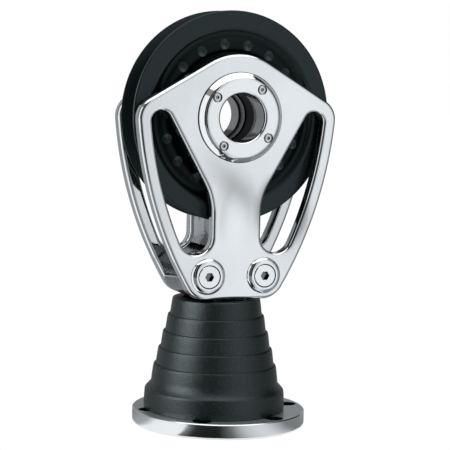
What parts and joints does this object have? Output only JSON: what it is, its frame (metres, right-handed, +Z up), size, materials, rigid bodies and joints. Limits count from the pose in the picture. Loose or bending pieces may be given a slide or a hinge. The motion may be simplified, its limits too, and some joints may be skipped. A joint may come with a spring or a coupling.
{
  "type": "stand-up block",
  "caption": "Stand-up rope block: black sheave on roller bearings between slotted polished side plates, on a toggle inside a stepped rubber boot and a round bolt-down base.",
  "frame": {"origin": "centre of the base plate's underside, on the swivel axis", "axes": "+Z up along the swivel axis, Y along the sheave's axis with the front plate at -Y, X across the block"},
  "size_m": [0.1512, 0.125, 0.297],
  "materials": {
    "polished_steel": "mirror-polished stainless steel",
    "base_steel": "satin stainless steel with a polished edge",
    "forged_steel": "tumbled stainless steel",
    "fastener_steel": "plain stainless steel",
    "roller_steel": "ground bearing steel",
    "sheave_black": "black hard-anodised aluminium, satin",
    "race_black": "black hard-anodised aluminium",
    "liner_plastic": "acetal, matte",
    "boot_rubber": "moulded black elastomer, finely grained"
  },
  "bodies": {
    "base": {"base_plate": "base_steel", "swivel_liner": "liner_plastic"},
    "post": {"swivel_post": "forged_steel", "swivel_nut": "fastener_steel", "lower_pin": "fastener_steel", "lower_circlip": "fastener_steel", "boot": "boot_rubber"},
    "toggle": {"toggle_link": "forged_steel", "lower_bush": "liner_plastic", "upper_bush": "liner_plastic"},
    "head": {"head_block": "polished_steel", "upper_pin": "fastener_steel", "upper_circlip": "fastener_steel", "front_plate": "polished_steel", "rear_plate": "polished_steel", "front_hub": "polished_steel", "rear_hub": "polished_steel", "front_hub_screws": "fastener_steel", "rear_hub_screws": "fastener_steel", "inner_race": "race_black", "front_side_ring": "race_black", "rear_side_ring": "race_black", "head_bolts": "polished_steel", "ferrules": "polished_steel", "head_nuts": "polished_steel"},
    "roller_set": {"rollers": "roller_steel", "roller_cage": "liner_plastic"},
    "front_ball_set": {"front_balls": "roller_steel", "front_ball_cage": "liner_plastic"},
    "rear_ball_set": {"rear_balls": "roller_steel", "rear_ball_cage": "liner_plastic"},
    "wheel": {"sheave": "sheave_black"}
  },
  "joints": [
    {"name": "base_swivel", "type": "hinge", "parent": "base", "child": "post", "pos_m": [0, 0, 0], "axis": [0, 0, 1], "continuous": true},
    {"name": "toggle_lean", "type": "hinge", "parent": "post", "child": "toggle", "pos_m": [0, 0, 0.036], "axis": [1, 0, 0], "range_deg": [-35, 35], "stiffness_Nm_per_rad": 40, "deforming": ["boot"]},
    {"name": "head_lean", "type": "hinge", "parent": "toggle", "child": "head", "pos_m": [0, 0, 0.068], "axis": [0, 1, 0], "range_deg": [-35, 35], "stiffness_Nm_per_rad": 40, "deforming": ["boot"]},
    {"name": "sheave_spin", "type": "hinge", "parent": "head", "child": "wheel", "pos_m": [0, 0, 0.222], "axis": [0, 1, 0], "continuous": true},
    {"name": "roller_orbit", "type": "hinge", "parent": "head", "child": "roller_set", "pos_m": [0, 0, 0.222], "axis": [0, 1, 0], "continuous": true},
    {"name": "front_ball_orbit", "type": "hinge", "parent": "head", "child": "front_ball_set", "pos_m": [0, 0, 0.222], "axis": [0, 1, 0], "continuous": true},
    {"name": "rear_ball_orbit", "type": "hinge", "parent": "head", "child": "rear_ball_set", "pos_m": [0, 0, 0.222], "axis": [0, 1, 0], "continuous": true}
  ],
  "couplings": [
    {"joint": "roller_orbit", "follows": "sheave_spin", "ratio": 0.5639},
    {"joint": "front_ball_orbit", "follows": "sheave_spin", "ratio": 0.5},
    {"joint": "rear_ball_orbit", "follows": "sheave_spin", "ratio": 0.5}
  ]
}
